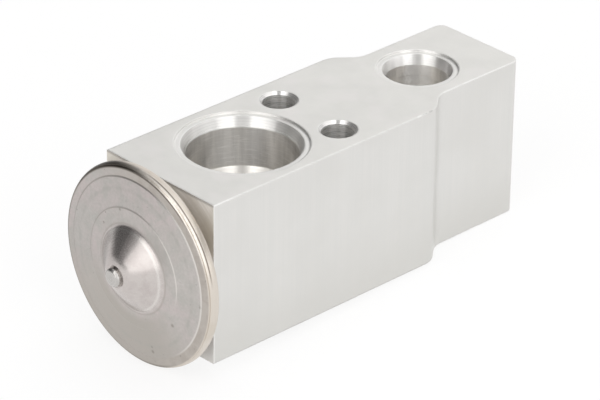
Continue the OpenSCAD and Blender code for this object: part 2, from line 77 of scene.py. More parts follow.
# Dark marks on the power head: y, z and size in millimetres
MARKS_ON_COVER = ((-8.3, -18.95, 0.42), (-3.6, -25.5, 0.42), (-3.5, -24.7, 0.30), (2.7, -4.35, 0.32),
                  (-13.8, -13.8, 0.36), (6.3, -7.9, 0.28))

# Dents in the block's near upper edge: x and size in millimetres, and tone
NICKS = ((14.2, 0.40, (0.42, 0.41, 0.385)), (11.8, 0.40, (0.98, 0.97, 0.95)),
         (13.2, 0.24, (0.52, 0.51, 0.49)), (12.6, 0.18, (0.58, 0.57, 0.55)))

# Pressed rings: radius, width, and the sectors where they catch the light and where they are shaded
PRESSED_RINGS = ((OUTER_RING, 0.22, (168, 42, 72), (62, 28, 52)),
                 (INNER_RING, 0.16, (145, 25, 55), (50, 40, 90)))

# Painted highlights and painted shade in the ports and holes, drawn as the arcs below
# Lighter and darker arcs in ports and holes. Each row gives the middle and the half widths at full strength
# and at none, in degrees round Z from +X, then the range of z in millimetres, the amount and the tone.
LEAD_IN, WALL = (-0.35, -1.8), (-1.9, -6.8)
CHAMFER, HOLE = (0.0, -0.5), (-0.5, BLOCK_LOW)
SUCTION_PAINTED_LIGHT = ((-12, 8, 18, LEAD_IN, 0.6, (0.70, 0.69, 0.67)),)
INLET_PAINTED_LIGHT = ((-22, 24, 36, LEAD_IN, 0.9, (0.61, 0.595, 0.585)),
              (40, 2, 9, LEAD_IN, 0.8, (0.72, 0.71, 0.69)),
              (78, 12, 24, LEAD_IN, 1.0, HIGHLIGHT_WHITE),
              (-2, 8, 22, WALL, 0.7, (0.65, 0.63, 0.60)),
              (92, 12, 24, WALL, 0.25, (0.65, 0.63, 0.60)),
              (45, 16, 28, WALL, 0.9, HIGHLIGHT_WHITE))
FIXING_PAINTED_LIGHT = ((45, 3, 13, CHAMFER, 0.8, (0.62, 0.615, 0.60)),
               (29, 4, 12, HOLE, 1.0, HIGHLIGHT_WHITE),
               (62, 6, 16, HOLE, 1.0, HIGHLIGHT_WHITE),
               (4, 8, 20, HOLE, 0.45, (0.66, 0.65, 0.63)),
               (136, 16, 30, CHAMFER, 0.85, (0.72, 0.715, 0.70)))


# Camera: place in metres, direction, roll in degrees, and focal length for a sensor 36 mm wide
CAMERA_PLACE = (-0.333507, -0.347048, 0.248271)
CAMERA_FORWARD = Vector((0.60683, 0.63423, -0.47908))
CAMERA_ROLL = 0.70
CAMERA_LENS = 219.95


def camera():
    """The photograph's viewing angle, solved from the block's edges and the port rims."""
    data = bpy.data.cameras.new("camera")
    data.sensor_width = 36.0
    data.lens = CAMERA_LENS
    data.clip_start = 0.01
    data.clip_end = 50.0
    obj = bpy.data.objects.new("camera", data)
    SCENE.collection.objects.link(obj)
    obj.location = CAMERA_PLACE
    roll = Quaternion((0, 0, 1), math.radians(CAMERA_ROLL))
    obj.rotation_mode = "QUATERNION"
    obj.rotation_quaternion = CAMERA_FORWARD.to_track_quat("-Z", "Y") @ roll
    SCENE.camera = obj


def empty_tree(owner):
    """The node tree of a material or world, with its first nodes taken out."""
    owner.use_nodes = True
    owner.node_tree.nodes.clear()
    return owner.node_tree


class Shader:
    """A material's node tree, built with short calls. Coordinates are the object's own, in millimetres."""

    def __init__(self, name, **constants):
        self.material = bpy.data.materials.new(name)
        self.tree = empty_tree(self.material)
        out = self.node("ShaderNodeOutputMaterial")
        self.bsdf = self.node("ShaderNodeBsdfPrincipled")
        self.link(self.bsdf.outputs[0], out.inputs[0])
        for socket, value in constants.items():
            self.bsdf.inputs[socket.replace("_", " ")].default_value = value
        place = self.node("ShaderNodeTexCoord")
        self.place = self.vector("MULTIPLY", place.outputs["Object"], (1 / MM, 1 / MM, 1 / MM))

    def node(self, kind, **settings):
        made = self.tree.nodes.new(kind)
        for name, value in settings.items():
            setattr(made, name, value)
        return made

    def link(self, a, b):
        self.tree.links.new(a, b)

    def feed(self, value, socket):
        """Links a socket to a value that is a node's output, and otherwise sets it."""
        if isinstance(value, bpy.types.NodeSocket):
            self.link(value, socket)
        else:
            socket.default_value = value

    def math(self, operation, *values):
        made = self.node("ShaderNodeMath", operation=operation)
        for value, socket in zip(values, made.inputs):
            self.feed(value, socket)
        return made.outputs[0]

    def times(self, first, *others):
        """Product of values."""
        for other in others:
            first = self.math("MULTIPLY", first, other)
        return first

    def weighted(self, *parts):
        """Sum of values, each times its weight."""
        total, *others = [self.times(value, weight) for value, weight in parts]
        for other in others:
            total = self.math("ADD", total, other)
        return total

    def vector(self, operation, *values):
        made = self.node("ShaderNodeVectorMath", operation=operation)
        for value, socket in zip(values, made.inputs):
            self.feed(value, socket)
        return made.outputs["Value" if operation in ("LENGTH", "DOT_PRODUCT") else "Vector"]

    def moved(self, *by):
        """The coordinates shifted, so that two noises don't follow each other."""
        return self.vector("ADD", self.place, by)

    def stretched(self, *by):
        """The coordinates scaled on each axis, so that a noise is drawn out into lines."""
        return self.vector("MULTIPLY", self.place, by)

    def along(self, axis):
        """The coordinate along an axis."""
        made = self.node("ShaderNodeSeparateXYZ")
        self.link(self.place, made.inputs[0])
        return made.outputs[axis]

    def noise(self, vector, scale, detail, roughness=0.5, distortion=0.0):
        made = self.node("ShaderNodeTexNoise")
        self.link(vector, made.inputs["Vector"])
        for name, value in (("Scale", scale), ("Detail", detail), ("Roughness", roughness),
                            ("Distortion", distortion)):
            made.inputs[name].default_value = value
        return made.outputs[0]

    def bands(self, value, scale, at, detail, roughness):
        """Noise along one value alone, so that it makes rings. `at` is its place on the other two axes."""
        made = self.node("ShaderNodeCombineXYZ")
        for item, socket in zip((self.times(value, scale), *at), made.inputs):
            self.feed(item, socket)
        return self.noise(made.outputs[0], 1.0, detail, roughness)

    def remap(self, value, low, high, to_low, to_high, smooth=False):
        made = self.node("ShaderNodeMapRange")
        made.interpolation_type = "SMOOTHSTEP" if smooth else "LINEAR"
        for item, socket in zip((value, low, high, to_low, to_high), made.inputs):
            self.feed(item, socket)
        return made.outputs[0]

    def spread(self, noise, low, high):
        """A value from `low` to `high` over the usual range of a noise."""
        return self.remap(noise, 0.3, 0.7, low, high)

    def mix(self, factor, a, b):
        made = self.node("ShaderNodeMix", data_type="RGBA")
        self.feed(factor, made.inputs["Factor"])
        for value, socket in ((a, made.inputs[6]), (b, made.inputs[7])):
            if not isinstance(value, bpy.types.NodeSocket) and len(value) == 3:
                value = (*value, 1.0)
            self.feed(value, socket)
        return made.outputs[2]

    def tint(self, base, tone, value, low, high, amount=1.0, smooth=False):
        """The base colour, which takes on a tone as a value goes from `low` to `high`."""
        return self.mix(self.remap(value, low, high, 0.0, amount, smooth), base, tone)

    def colour(self, value):
        self.feed(value, self.bsdf.inputs["Base Color"])

    def rough(self, value):
        self.feed(value, self.bsdf.inputs["Roughness"])

    def bump(self, height, strength, distance, under=None):
        made = self.node("ShaderNodeBump")
        made.inputs["Strength"].default_value = strength
        made.inputs["Distance"].default_value = distance * MM
        self.link(height, made.inputs["Height"])
        if under is not None:
            self.link(under, made.inputs["Normal"])
        self.link(made.outputs[0], self.bsdf.inputs["Normal"])
        return made.outputs[0]

    def radius_about(self, axis, centre):
        """Distance from a line along an axis, and the point seen from that line, in millimetres."""
        keep = [0.0 if i == axis else 1.0 for i in range(3)]
        seen = self.vector("MULTIPLY", self.vector("SUBTRACT", self.place, centre), keep)
        return self.vector("LENGTH", seen), seen

    def sector(self, seen, middle, full, none, amount=1.0, round_z=False):
        """The amount within `full` degrees of an angle round an axis, falling to 0 at `none`.

        Round the stem, 0 degrees is +Y and 90 is +Z. Round Z, 0 degrees is +X and 90 is +Y."""
        middle, full, none = (math.radians(angle) for angle in (middle, full, none))
        across, up = math.cos(middle), math.sin(middle)
        way = (across, up, 0.0) if round_z else (0.0, across, up)
        agree = self.vector("DOT_PRODUCT", self.vector("NORMALIZE", seen), way)
        return self.remap(agree, math.cos(none), math.cos(full), 0.0, amount, smooth=True)

    def ring(self, value, at, width, depth):
        """A soft line of the given depth where a value lies near `at`."""
        off = self.math("ABSOLUTE", self.math("SUBTRACT", value, at))
        return self.remap(off, 0.0, width, depth, 0.0, smooth=True)

    def edged(self, base, radius):
        """Colours a face with its dents and a painted highlight along its sharp edges, and gives back the
        normal with round edges.
        """
        soft, edge = self.rounded(radius)
        self.colour(self.mix(self.edge_highlight(edge), self.nicks(base), HIGHLIGHT_WHITE))
        return soft

    def nicks(self, base):
        """Small dents in the near upper edge beside the step, longer along the edge than across it."""
        for x, size, tone in NICKS:
            away = self.vector("SUBTRACT", self.place, (x, -BLOCK_SIDE_Y, 0.0))
            away = self.vector("LENGTH", self.vector("MULTIPLY", away, (0.6, 1.6, 1.6)))
            base = self.mix(self.remap(away, 0.4 * size, size, 0.8, 0.0, smooth=True), base, tone)
        return base

    def edge_highlight(self, edge):
        """How strong the painted highlight on an edge is: most at the tail and at the end under the power
        head.
        """
        x = self.along(0)
        ends = self.math("MAXIMUM", self.remap(x, 16.0, 20.0, 0.45, 1.0),
                         self.remap(x, -26.0, -23.0, 1.0, 0.45))
        return self.times(edge, ends)

    def rounded(self, radius):
        """A normal that turns within this radius of a sharp edge, and a mask that is 1 at the edge."""
        made = self.node("ShaderNodeBevel", samples=6)
        made.inputs["Radius"].default_value = radius * MM
        flat = self.node("ShaderNodeNewGeometry")
        agree = self.vector("DOT_PRODUCT", made.outputs[0], flat.outputs["Normal"])
        return made.outputs[0], self.remap(agree, 0.80, 0.995, 1.0, 0.0)

    def turned_tangent(self, axis, seen):
        """Grooves run round the axis, so highlights stretch across them."""
        direction = tuple(1.0 if i == axis else 0.0 for i in range(3))
        self.link(self.vector("NORMALIZE", self.vector("CROSS_PRODUCT", seen, direction)),
                  self.bsdf.inputs["Tangent"])


def darker(tone, share):
    """A share of a tone's brightness."""
    return tuple(share * c for c in tone)


def extruded_aluminium():
    """Drawn side of the block: fine lines along Z over soft clouds, painted shade towards the table, and
    painted edge highlights.
    """
    s = Shader("aluminium_drawn", Metallic=1.0)
    fine = s.noise(s.stretched(5.0, 5.0, 0.05), 1.0, 4.0, 0.6)
    broad = s.noise(s.stretched(1.1, 1.1, 0.02), 1.0, 2.0)
    cloud = s.noise(s.place, 0.09, 3.0)
    lines = s.weighted((fine, 0.6), (broad, 0.4))
    tone = s.tint((0.716, 0.711, 0.691), (0.750, 0.740, 0.720), lines, 0.35, 0.65)
    tone = s.tint(tone, (0.69, 0.68, 0.655), cloud, 0.4, 0.62, 0.45)
    # Painted shade: darker towards the table
    low_shade = s.remap(s.along(2), BLOCK_LOW, -14.0, 0.55, 0.0, smooth=True)
    soft = s.edged(s.mix(low_shade, tone, (0.64, 0.63, 0.60)), 0.52)
    s.rough(s.spread(lines, 0.36, 0.46))
    s.bump(lines, 0.10, 0.02, soft)
    return s.material


def milled_aluminium(name="aluminium_milled", tone=(0.82, 0.81, 0.78)):
    """Port face: even satin with a fine grain and faint stains, and painted highlights on its edges."""
    s = Shader(name, Metallic=1.0)
    grain = s.noise(s.place, 9.0, 3.0, 0.65)
    cloud = s.noise(s.place, 0.14, 3.0, 0.55)
    warm = s.noise(s.moved(31.0, 7.0, 3.0), 0.22, 2.0)
    base = s.tint(tone, darker(tone, 0.955), cloud, 0.38, 0.62)
    base = s.tint(base, (0.85, 0.825, 0.81), warm, 0.5, 0.68, 0.5)
    base = s.tint(base, (0.76, 0.755, 0.735), grain, 0.35, 0.7, 0.25)
    soft = s.edged(base, 0.44)
    s.rough(s.spread(grain, 0.40, 0.50))
    s.bump(grain, 0.06, 0.015, soft)
    return s.material


def end_aluminium():
    """End faces: turned rings round the stem, a grey lower part, and above them a warm band of painted shade
    and a thin line of painted shade under the top edge.
    """
    s = Shader("aluminium_end", Metallic=0.35, Anisotropic=0.3, Anisotropic_Rotation=0.25)
    radius, seen = s.radius_about(0, STEM)
    up = s.along(2)
    rings = s.bands(radius, 3.0, (0.3, 0.7), 3.0, 0.6)
    stain = s.noise(s.place, 0.35, 2.0)
    base = s.tint((0.88, 0.83, 0.76), (0.97, 0.93, 0.87), rings, 0.36, 0.64)
    base = s.tint(base, (0.80, 0.76, 0.67), stain, 0.42, 0.66, 0.7)
    base = s.mix(s.remap(up, -22.0, -15.0, 0.8, 0.0, smooth=True), base, (0.79, 0.78, 0.765))
    # Painted shade: a warm, darker band below the top edge
    base = s.mix(s.ring(up, -5.5, 5.0, 0.4), base, (0.58, 0.49, 0.36))
    # Painted shade: a thin dark line just under the top edge
    s.colour(s.tint(base, (0.40, 0.37, 0.33), up, -0.5, -0.15, 0.6, smooth=True))
    s.rough(s.spread(rings, 0.46, 0.57))
    s.bump(rings, 0.12, 0.03)
    s.turned_tangent(0, seen)
    return s.material


def turned_metal(name, axis, centre, light, dark, rough, marks=6.0, strength=0.25, stretch=0.75, metal=1.0,
                 feed=0.0, deep=None, lift=0.0, arcs=()):
    """Turned surface with ring marks round an axis.

    A feed adds fine lines at that pitch. `deep` is the wall's tone and the shoulder's depth in a port, `lift`
    how much the lead-in's slope is shaded, and `arcs` are lighter and darker arcs round Z."""
    s = Shader(name, Metallic=metal, Anisotropic=stretch, Anisotropic_Rotation=0.25)
    radius, seen = s.radius_about(axis, centre)
    along = s.along(axis)
    travel = s.math("ADD", radius, along)
    rings = s.bands(travel, marks, (0.3, 0.7), 3.0, 0.6)
    wide = s.bands(travel, 0.9, (5.1, 2.2), 1.0, 0.5)
    stain = s.noise(s.place, 0.35, 2.0)
    base = s.tint(dark, light, s.weighted((rings, 0.5), (wide, 0.5)), 0.36, 0.64)
    base = s.tint(base, dark, stain, 0.45, 0.7, 0.4)
    height, under = rings, None
    if feed:
        lean = s.math("SUBTRACT", along, s.times(radius, 0.6))
        turns = s.math("SINE", s.times(lean, 2 * math.pi / feed))
        height = s.weighted((rings, 0.6), (turns, 0.25))
        base = s.tint(base, darker(dark, 0.8), turns, 0.1, 1.0, 0.30)
    matte = s.spread(rings, rough - 0.04, rough + 0.07)
    if deep is not None:
        tone, bottom = deep
        from_middle = s.math("ABSOLUTE", s.math("SUBTRACT", along, STEM_Z))
        depth = s.math("SUBTRACT", HALF_HEIGHT, from_middle)
        under = s.bump(s.math("MINIMUM", depth, LEAD_END), 1.0, lift)
        streak = s.noise(s.stretched(1.0, 1.0, 0.06), 0.9, 3.0, 0.6, 0.5)
        swirl = s.noise(s.stretched(0.45, 0.45, 4.5), 1.0, 4.0, 0.7, 0.8)
        wall = s.tint(darker(tone, 0.86), tone, streak, 0.38, 0.62)
        wall = s.tint(wall, (1.0, 0.985, 0.97), swirl, 0.52, 0.68, 0.40)
        wall = s.tint(wall, darker(tone, 0.7), swirl, 0.46, 0.34, 0.22)
        inside = s.times(s.remap(depth, LEAD_END - 0.2, LEAD_END + 0.2, 0.0, 1.0),
                         s.remap(depth, bottom - 0.05, bottom, 1.0, 0.0))
        base = s.mix(inside, base, wall)
        shoulder = s.remap(depth, bottom - 0.05, bottom, 0.0, 1.0)
        base = s.mix(shoulder, base, (0.86, 0.835, 0.79))
        matte = s.math("ADD", matte, s.times(shoulder, 0.04))
    # Painted highlights and painted shade: the lighter and darker arcs round Z
    for middle, full, none, (high, low), amount, tone in arcs:
        turn = s.sector(seen, middle, full, none, amount, round_z=True)
        band = s.times(s.remap(along, low - 0.1, low, 0.0, 1.0), s.remap(along, high, high + 0.1, 1.0, 0.0))
        base = s.mix(s.times(turn, band), base, tone)
    s.colour(base)
    s.rough(matte)
    s.bump(height, strength, 0.03, under)
    s.turned_tangent(axis, seen)
    return s.material


def stained_sheet(s, radius, seen, cloud, patch):
    """Colour of the power head's satin sheet: stains, specks, marks, a worn ring, painted shade on its lower
    side, painted highlights and shade on the pressed rings, and painted shade round the dome's foot.
    """
    pink = s.noise(s.moved(11.0, 40.0, 5.0), 0.12, 3.0, 0.5, 0.6)
    speck = s.noise(s.moved(3.0, 17.0, 29.0), 1.9, 1.0, 0.4)
    fleck = s.noise(s.moved(23.0, 5.0, 9.0), 2.4, 3.0, 0.65)
    satin = s.tint((0.49, 0.466, 0.44), (0.56, 0.527, 0.505), cloud, 0.36, 0.64)
    satin = s.tint(satin, (0.575, 0.51, 0.50), pink, 0.40, 0.60, 0.8)
    satin = s.tint(satin, (0.475, 0.465, 0.435), patch, 0.44, 0.62, 0.6)
    satin = s.tint(satin, (0.44, 0.415, 0.39), fleck, 0.42, 0.66, 0.30)
    satin = s.tint(satin, (0.60, 0.57, 0.55), fleck, 0.46, 0.34, 0.20)
    # Painted shade on the sheet's lower side, outside the dome
    low = s.times(s.sector(seen, -78, 25, 80), s.remap(radius, 6.8, 8.5, 0.0, 0.9, smooth=True))
    satin = s.mix(low, satin, (0.445, 0.415, 0.38))
    olive = s.tint((0.44, 0.40, 0.36), (0.50, 0.46, 0.42), patch, 0.4, 0.6)
    flange = s.remap(radius, OUTER_RING - 0.1, OUTER_RING + 0.2, 0.0, 0.9, smooth=True)
    satin = s.mix(s.times(flange, s.sector(seen, 160, 60, 110)), satin, olive)
    satin = s.tint(satin, (0.26, 0.24, 0.22), speck, 0.75, 0.81, 0.6)
    flat = s.stretched(0.0, 1.0, 1.0)
    for y, z, size in MARKS_ON_COVER:
        away = s.vector("LENGTH", s.vector("SUBTRACT", flat, (0.0, y, z)))
        satin = s.mix(s.remap(away, 0.3 * size, size, 0.6, 0.0, smooth=True), satin, (0.24, 0.22, 0.19))
    worn = s.remap(patch, 0.4, 0.6, 0.3, 1.0)
    satin = s.mix(s.times(s.ring(radius, WORN_RING, 0.5, 0.45), worn), satin, (0.41, 0.40, 0.37))
    # Painted highlights and painted shade on the pressed rings, each in its own sectors
    for at, width, lit, shaded in PRESSED_RINGS:
        line = s.ring(radius, at, width, 0.8)
        satin = s.mix(s.times(line, s.sector(seen, *lit)), satin, (0.74, 0.71, 0.67))
        satin = s.mix(s.times(line, s.sector(seen, *shaded)), satin, (0.38, 0.35, 0.32))
    # Painted shade in the crease round the dome's foot
    return s.mix(s.ring(radius, DOME_EDGE - 0.02, 0.30, 0.45), satin, (0.38, 0.34, 0.31))


def weld_bead(s, radius, seen, cloud, patch, satin):
    """Adds the weld bead to the sheet's colour: straw with a painted highlight in one place, dark heat tint
    with painted shade in others, and painted shade in the groove beside it and along the flange's edge.

    Gives back the colour and how far a point lies on the bead."""
    along = s.along(0)
    bead = s.remap(radius, BEAD_EDGE, BEAD_EDGE + 0.2, 0.0, 1.0, smooth=True)
    straw = s.tint((0.63, 0.57, 0.495), (0.69, 0.635, 0.57), cloud, 0.4, 0.6)
    # Painted highlight on the bead at the upper right
    bead_highlight = s.times(s.sector(seen, 120, 22, 44),
                       s.remap(along, BEAD_X, BEAD_X + 0.25, 1.0, 0.0, smooth=True),
                       s.remap(patch, 0.40, 0.58, 0.55, 1.0))
    straw = s.mix(bead_highlight, straw, (0.84, 0.79, 0.73))
    # Dark heat tint with painted shade on the front edge round the left side
    burnt_and_shaded = s.times(s.remap(along, BEAD_X - 0.55, BEAD_X - 0.40, 1.0, 0.0),
                    s.remap(radius, BEAD_EDGE - 0.25, BEAD_EDGE + 0.05, 0.0, 1.0),
                    s.sector(seen, -12, 96, 114))
    # Painted shade in the groove beside the bead, at the upper right
    groove_shade = s.times(s.ring(along, BEAD_X - 0.08, 0.20, 0.9), s.sector(seen, 132, 26, 40), bead)
    # Painted shade along the flange's edge near the top
    brink_shade = s.times(s.ring(radius, BEAD_EDGE - 0.03, 0.16, 0.8), s.sector(seen, 108, 14, 30))
    # Dark heat tint with painted shade on the bead's crown at the upper left
    wide = s.times(s.sector(seen, 60, 5, 22), s.remap(along, BEAD_X + 0.1, BEAD_X + 0.4, 1.0, 0.25))
    narrow = s.times(s.sector(seen, 58, 16, 31), s.remap(along, BEAD_X - 0.5, BEAD_X - 0.2, 1.0, 0.0))
    crown_burnt_and_shaded = s.times(s.remap(radius, BEAD_EDGE - 0.15, BEAD_EDGE + 0.05, 0.0, 0.88),
                    s.math("MAXIMUM", wide, narrow))
    base = s.mix(bead, satin, straw)
    for where, tone in ((groove_shade, (0.13, 0.10, 0.08)), (brink_shade, (0.16, 0.125, 0.10)),
                        (burnt_and_shaded, (0.24, 0.215, 0.185)), (crown_burnt_and_shaded, (0.095, 0.080, 0.066))):
        base = s.mix(where, base, tone)
    return base, bead


def pressed_stainless():
    """Covers of the power head: satin sheet with stains, scratches and pressed rings, a bright dome, and a
    straw weld bead."""
    s = Shader("stainless_pressed", Metallic=1.0, Anisotropic=0.2, Anisotropic_Rotation=0.25)
    radius, seen = s.radius_about(0, STEM)
    cloud = s.noise(s.place, 0.16, 4.0, 0.55, 0.4)
    patch = s.noise(s.moved(7.0, 2.0, 13.0), 0.55, 3.0, 0.6, 0.5)
    grain = s.noise(s.place, 14.0, 3.0, 0.6)
    satin = stained_sheet(s, radius, seen, cloud, patch)
    base, bead = weld_bead(s, radius, seen, cloud, patch, satin)
    dome = s.remap(radius, DOME_EDGE - 0.45, DOME_EDGE, 1.0, 0.0, smooth=True)
    skin = s.tint((0.60, 0.558, 0.535), (0.55, 0.503, 0.485), patch, 0.42, 0.62)
    # Painted highlight: a lighter ring just inside the dome's foot
    skin = s.mix(s.ring(radius, DOME_EDGE - 0.8, 0.28, 0.6), skin, (0.76, 0.73, 0.70))
    s.colour(s.mix(dome, base, skin))
    s.rough(s.math("SUBTRACT", s.spread(grain, 0.30, 0.38), s.times(dome, 0.08)))
    # The dome's tip is worn round: its slope eases off towards the plug
    easing = s.remap(radius, TIP_INNER, TIP_OUTER, 0.0, 1.0)
    eased = s.math("SUBTRACT", s.math("MINIMUM", radius, TIP_OUTER), s.times(easing, easing, 0.8))
    tip = s.bump(eased, 1.0, 0.36)
    ripple = s.noise(s.stretched(2.0, 2.0, 2.0), 1.0, 1.0)
    scratch = s.noise(s.stretched(1.0, 9.0, 0.5), 1.0, 2.0, 0.6, 0.3)
    scratches = s.remap(scratch, 0.62, 0.70, 0.0, 1.0)
    s.bump(s.weighted((grain, 0.3), (ripple, bead), (scratches, 0.5), (patch, 1.2)), 0.16, 0.03, tip)
    s.turned_tangent(0, seen)
    return s.material


def plain_metal(name, light, dark, rough):
    """Small steel pieces that mostly lie inside the block."""
    s = Shader(name, Metallic=1.0)
    grain = s.noise(s.place, 3.0, 3.0, 0.6)
    s.colour(s.tint(dark, light, grain, 0.35, 0.65))
    s.rough(s.spread(grain, rough - 0.05, rough + 0.06))
    s.bump(grain, 0.08, 0.02)
    return s.material


def rubber():
    """Green rubber of the seals: matte, with a faint grain."""
    s = Shader("rubber_green", Metallic=0.0)
    grain = s.noise(s.place, 8.0, 3.0, 0.6)
    s.colour(s.tint((0.035, 0.12, 0.065), (0.06, 0.18, 0.10), grain, 0.35, 0.65))
    s.rough(s.spread(grain, 0.5, 0.65))
    s.bump(grain, 0.1, 0.02)
    return s.material


def dress(node, *materials):
    """Gives a CAD node its materials, in the order of their slots."""
    data = nodes[node].data
    data.materials.clear()
    for material in materials:
        data.materials.append(material)


def block_slot(face):
    """The palette's slot for a face of the block, by where it lies and which way it looks."""
    x, y, z = (c / MM for c in face.center)
    level, upright = abs(face.normal.z) > 0.9, abs(face.normal.z) < 0.1
    if abs(z) < CLOSE or abs(z - BLOCK_LOW) < CLOSE:
        return MILLED
    if abs(x - HEAD_FACE_X) < CLOSE or abs(x - TAIL_FACE_X) < CLOSE:
        return END
    in_hole = math.hypot(x, abs(y) - FIXING_Y) < FIXING_REACH
    in_passage = math.hypot(x - SUCTION_X, y) <= SUCTION_REACH
    in_stem_bore = math.hypot(y, z - STEM_Z) <= STEM_BORE_REACH
    at_side = abs(y) > TAIL_SIDE_Y - 0.1 or x > TAIL_FACE_X - TAIL_CORNER
    if upright and at_side and not (in_hole or in_passage or in_stem_bore):
        return DRAWN
    if in_hole:
        return FIXING + int(y > 0)
    slot = END
    for index, (port_x, reach, faces) in enumerate(PORTS):
        if math.hypot(x - port_x, y) < reach:
            depth = min(abs(z - at) for at in faces)
            if level and depth < RECESS_DEPTH + CLOSE:
                slot = RECESS
            elif depth < HALF_HEIGHT - 0.1:
                slot = PORT + index
    return slot


def dress_block():
    """The block's palette, and each face's slot in it."""
    palette = [extruded_aluminium(), milled_aluminium(), end_aluminium()]
    # A port's wall is its tone and the shoulder's depth; then come the lead-in's shading and the arcs of
    # painted highlight and shade
    suction_wall, liquid_wall = ((0.77, 0.75, 0.72), 8.2), ((0.96, 0.94, 0.91), 6.9)
    looks = ((suction_wall, 0.02, SUCTION_PAINTED_LIGHT), (liquid_wall, 0.10, INLET_PAINTED_LIGHT), (liquid_wall, 0.10, ()))
    for index, ((x, _, _), (deep, lift, arcs)) in enumerate(zip(PORTS, looks)):
        palette.append(turned_metal(f"aluminium_port_{index}", 2, (x, 0.0, 0.0), (0.95, 0.94, 0.92),
                                    (0.86, 0.85, 0.83), 0.31, stretch=0.94, metal=0.92, feed=TOOL_FEED,
                                    deep=deep, lift=lift, arcs=arcs))
    for index, y in enumerate((-FIXING_Y, FIXING_Y)):
        palette.append(turned_metal(f"aluminium_fixing_{index}", 2, (0.0, y, 0.0), (0.96, 0.95, 0.93),
                                    (0.80, 0.785, 0.765), 0.26, marks=9.0, strength=0.4, stretch=0.92,
                                    metal=0.88, feed=TOOL_FEED, arcs=FIXING_PAINTED_LIGHT))
    palette.append(milled_aluminium("aluminium_recess", (0.865, 0.855, 0.83)))
    dress("block", *palette)
    for face in nodes["block"].data.polygons:
        face.material_index = block_slot(face)


def dress_nodes():
    """Materials of every piece."""
    dress_block()
    looks = (
        (pressed_stainless(), ("upper_cover", "lower_cover")),
        (turned_metal("steel_turned", 0, STEM, (0.66, 0.64, 0.62), (0.52, 0.50, 0.48), 0.26),
         ("mounting_neck", "charge_plug", "valve_seat")),
        (turned_metal("brass_turned", 0, STEM, (0.78, 0.62, 0.32), (0.62, 0.48, 0.22), 0.28),
         ("stopper_disc", "ball_holder")),
        (turned_metal("steel_plated", 0, STEM, (0.70, 0.70, 0.68), (0.56, 0.56, 0.54), 0.30),
         ("adjusting_screw",)),
        (turned_metal("aluminium_rod", 0, STEM, (0.78, 0.78, 0.78), (0.68, 0.68, 0.68), 0.26),
         ("sensing_rod",)),
        (plain_metal("steel_spring", (0.52, 0.52, 0.53), (0.38, 0.38, 0.39), 0.30),
         ("diaphragm", "coil_spring", "damping_spring", "seal_retainer")),
        (plain_metal("steel_polished", (0.74, 0.75, 0.76), (0.66, 0.67, 0.68), 0.14),
         ("push_rod", "ball")),
        (rubber(), ("head_o_ring", "rod_o_ring", "screw_o_ring")),
    )
    for material, names in looks:
        for name in names:
            dress(name, material)


# The table touches the power head's lowest point and the tail's lower edge
FLOOR_LOW = Vector((-32.65, 0.0, -28.75)) * MM
FLOOR_RISE = (BLOCK_LOW * MM - FLOOR_LOW.z) / (TAIL_FACE_X * MM - FLOOR_LOW.x)
FLOOR_REACH = 3.0
FLOOR_GAP = Vector((0, 0, 0.02)) * MM
SHADE_SHEET_LIFT = 0.3 * MM

# How strongly the world lights the valve; the table's tone in that light, and its tone and glow as it is seen
WORLD_LIGHT = 0.6
TABLE_TONE = (0.80, 0.80, 0.80, 1.0)
TABLE_SEEN, TABLE_GLOW = (0.24, 0.24, 0.24, 1.0), 0.79

# Level directions of the studio: from the object to the camera's side, and to the image's right
CAMERA_SIDE = Vector((-0.6913, -0.7225, 0.0))
IMAGE_RIGHT = Vector((0.7225, -0.6913, 0.0))

# Faces across each card and flag, and up each card
SHEET_COLUMNS, CARD_ROWS = 12, 10

# Studio cards: turns and rises in degrees, distance in metres, and brightness
CARDS = {
    "card_right": ((15, 50), (-2, 40), 2.0, 1.62),
    "card_right_high": ((17, 50), (40, 86), 2.0, 2.1),
    "card_left": ((-50, -15), (-2, 40), 2.0, 1.65),
    "card_left_high": ((-50, -17), (40, 86), 2.0, 2.2),
    "card_camera": ((-15, 15), (-2, 42), 2.1, 0.86),
    "card_above": ((-17, 17), (42, 86), 2.1, 0.42),
    "card_side": ((50, 125), (16, 34), 2.1, 0.54),
    "card_side_near": ((50, 80), (-2, 16), 2.1, 1.5),
    "card_side_mid": ((80, 104), (-2, 16), 2.1, 1.2),
    "card_side_far": ((104, 125), (-2, 16), 2.1, 0.68),
    "card_side_high": ((64, 140), (34, 66), 2.1, 1.3),
    "card_turn": ((-64, -50), (8, 46), 2.1, 1.35),
    "card_middle": ((-86, -64), (18, 46), 2.1, 0.38),
    "card_low": ((-86, -64), (-2, 18), 2.1, 0.2),
    "card_foot": ((-64, -50), (-2, 8), 2.1, 0.5),
    "card_horizon": ((-166, -86), (-2, 4), 2.2, 0.4),
    "card_dark": ((-166, -86), (4, 56), 2.2, 0.12),
    "card_turn_high": ((-72, -50), (46, 78), 2.1, 1.2),
    "card_high": ((-140, -72), (46, 78), 2.3, 0.36),
}

# Painted shade of the table near the object, as glowing grey sheets seen only in reflections: turns in
# degrees, nearest and furthest reach in metres, and brightness
TABLE_SHADE_SHEETS = {
    "flag_left": ((-178, -128), (0.03, 2.1), 0.55),
    "flag_front": ((-128, -84), (0.03, 2.1), 0.93),
}

# Lamps: turn and rise in degrees, distance and size in metres, and power in watts
LAMPS = {
    "lamp_right": (32, 35, 1.0, (0.6, 0.8), 2.0),
    "lamp_left": (-32, 35, 1.0, (0.6, 0.8), 2.0),
    "lamp_top": (150, 70, 1.2, (0.9, 0.9), 2.0),
}


def towards(turn, rise):
    """Direction from the object, turned from the camera's side to the image's right, in degrees."""
    turn, rise = math.radians(turn), math.radians(rise)
    flat = math.cos(turn) * CAMERA_SIDE + math.sin(turn) * IMAGE_RIGHT
    return math.cos(rise) * flat + math.sin(rise) * Vector((0, 0, 1))


